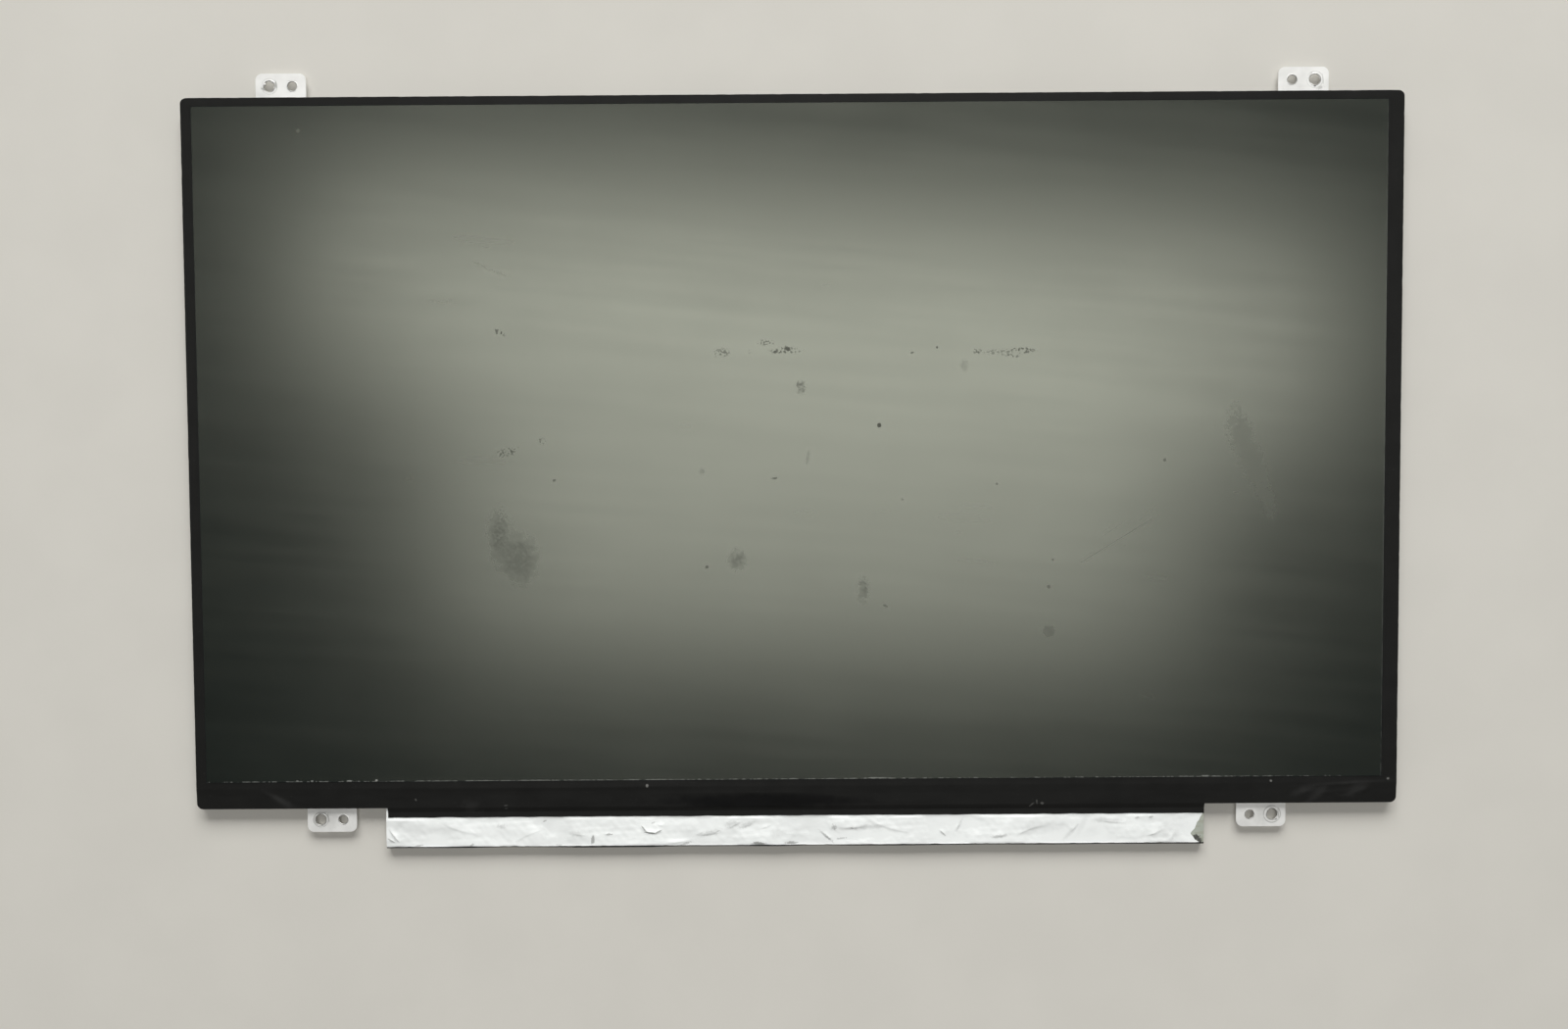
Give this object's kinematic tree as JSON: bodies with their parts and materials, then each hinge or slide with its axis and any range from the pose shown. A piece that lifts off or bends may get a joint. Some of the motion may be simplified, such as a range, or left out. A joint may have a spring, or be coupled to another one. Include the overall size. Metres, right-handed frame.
{
  "type": "laptop screen panel",
  "caption": "Slim edge-lit laptop screen module lying on its back, with a taped rim, four screw ears and a foil-covered circuit board along its lower edge.",
  "frame": {"origin": "on the resting plane, under the middle of the whole outline with ears and circuit board", "axes": "+X to the right and +Y up as the viewer sees the screen, +Z out of the screen"},
  "size_m": [0.3204, 0.2056, 0.003],
  "materials": {
    "back_cover": "satin stamped sheet",
    "mould_frame": "moulded, fine matt",
    "reflector": "white foamed sheet",
    "light_guide": "clear acrylic, glossy",
    "diffuser": "frosted film",
    "prism_sheet": "finely ribbed film",
    "rear_polarizer": "smoked film",
    "tft_glass": "thin glass with metal tracks",
    "filter_glass": "thin glass with a colour mosaic",
    "screen": "anti-glare film, smudged and specked",
    "silicon": "polished silicon",
    "polyimide": "amber film with copper tracks",
    "white_plastic": "moulded",
    "phosphor": "cast resin",
    "latch_plastic": "moulded",
    "board": "solder resist on glass fibre",
    "chip_plastic": "moulded package",
    "ferrite": "sintered ferrite",
    "capacitor": "fired ceramic",
    "resistor": "glazed",
    "socket_plastic": "moulded",
    "socket_shell": "tinned sheet",
    "contact_metal": "gold flash",
    "black_tape": "satin polyester tape, wrinkled in places",
    "foil": "creased foil tape",
    "black_film": "satin polyester film"
  },
  "bodies": {
    "root": {"back_cover": "back_cover", "mould_frame": "mould_frame", "reflector_sheet": "reflector", "light_guide": "light_guide", "lower_diffuser": "diffuser", "lower_prism_sheet": "prism_sheet", "upper_prism_sheet": "prism_sheet", "upper_diffuser": "diffuser", "panel_adhesive": "black_tape", "rear_polarizer": "rear_polarizer", "tft_glass": "tft_glass", "colour_filter_glass": "filter_glass", "front_polarizer": "screen", "driver_chips": "silicon", "bonding_films": "polyimide", "led_flex": "polyimide", "led_packages": "white_plastic", "led_windows": "phosphor", "lamp_socket": "white_plastic", "lamp_latch": "latch_plastic", "circuit_board": "board", "timing_chip": "chip_plastic", "power_chips": "chip_plastic", "memory_chip": "chip_plastic", "inductors": "ferrite", "capacitors": "capacitor", "resistors": "resistor", "rectifier_diode": "chip_plastic", "socket_body": "socket_plastic", "socket_shell": "socket_shell", "socket_contacts": "contact_metal", "rim_tape": "black_tape", "lower_tape": "black_tape", "foil_tape": "foil", "board_film": "black_film"}
  },
  "joints": []
}
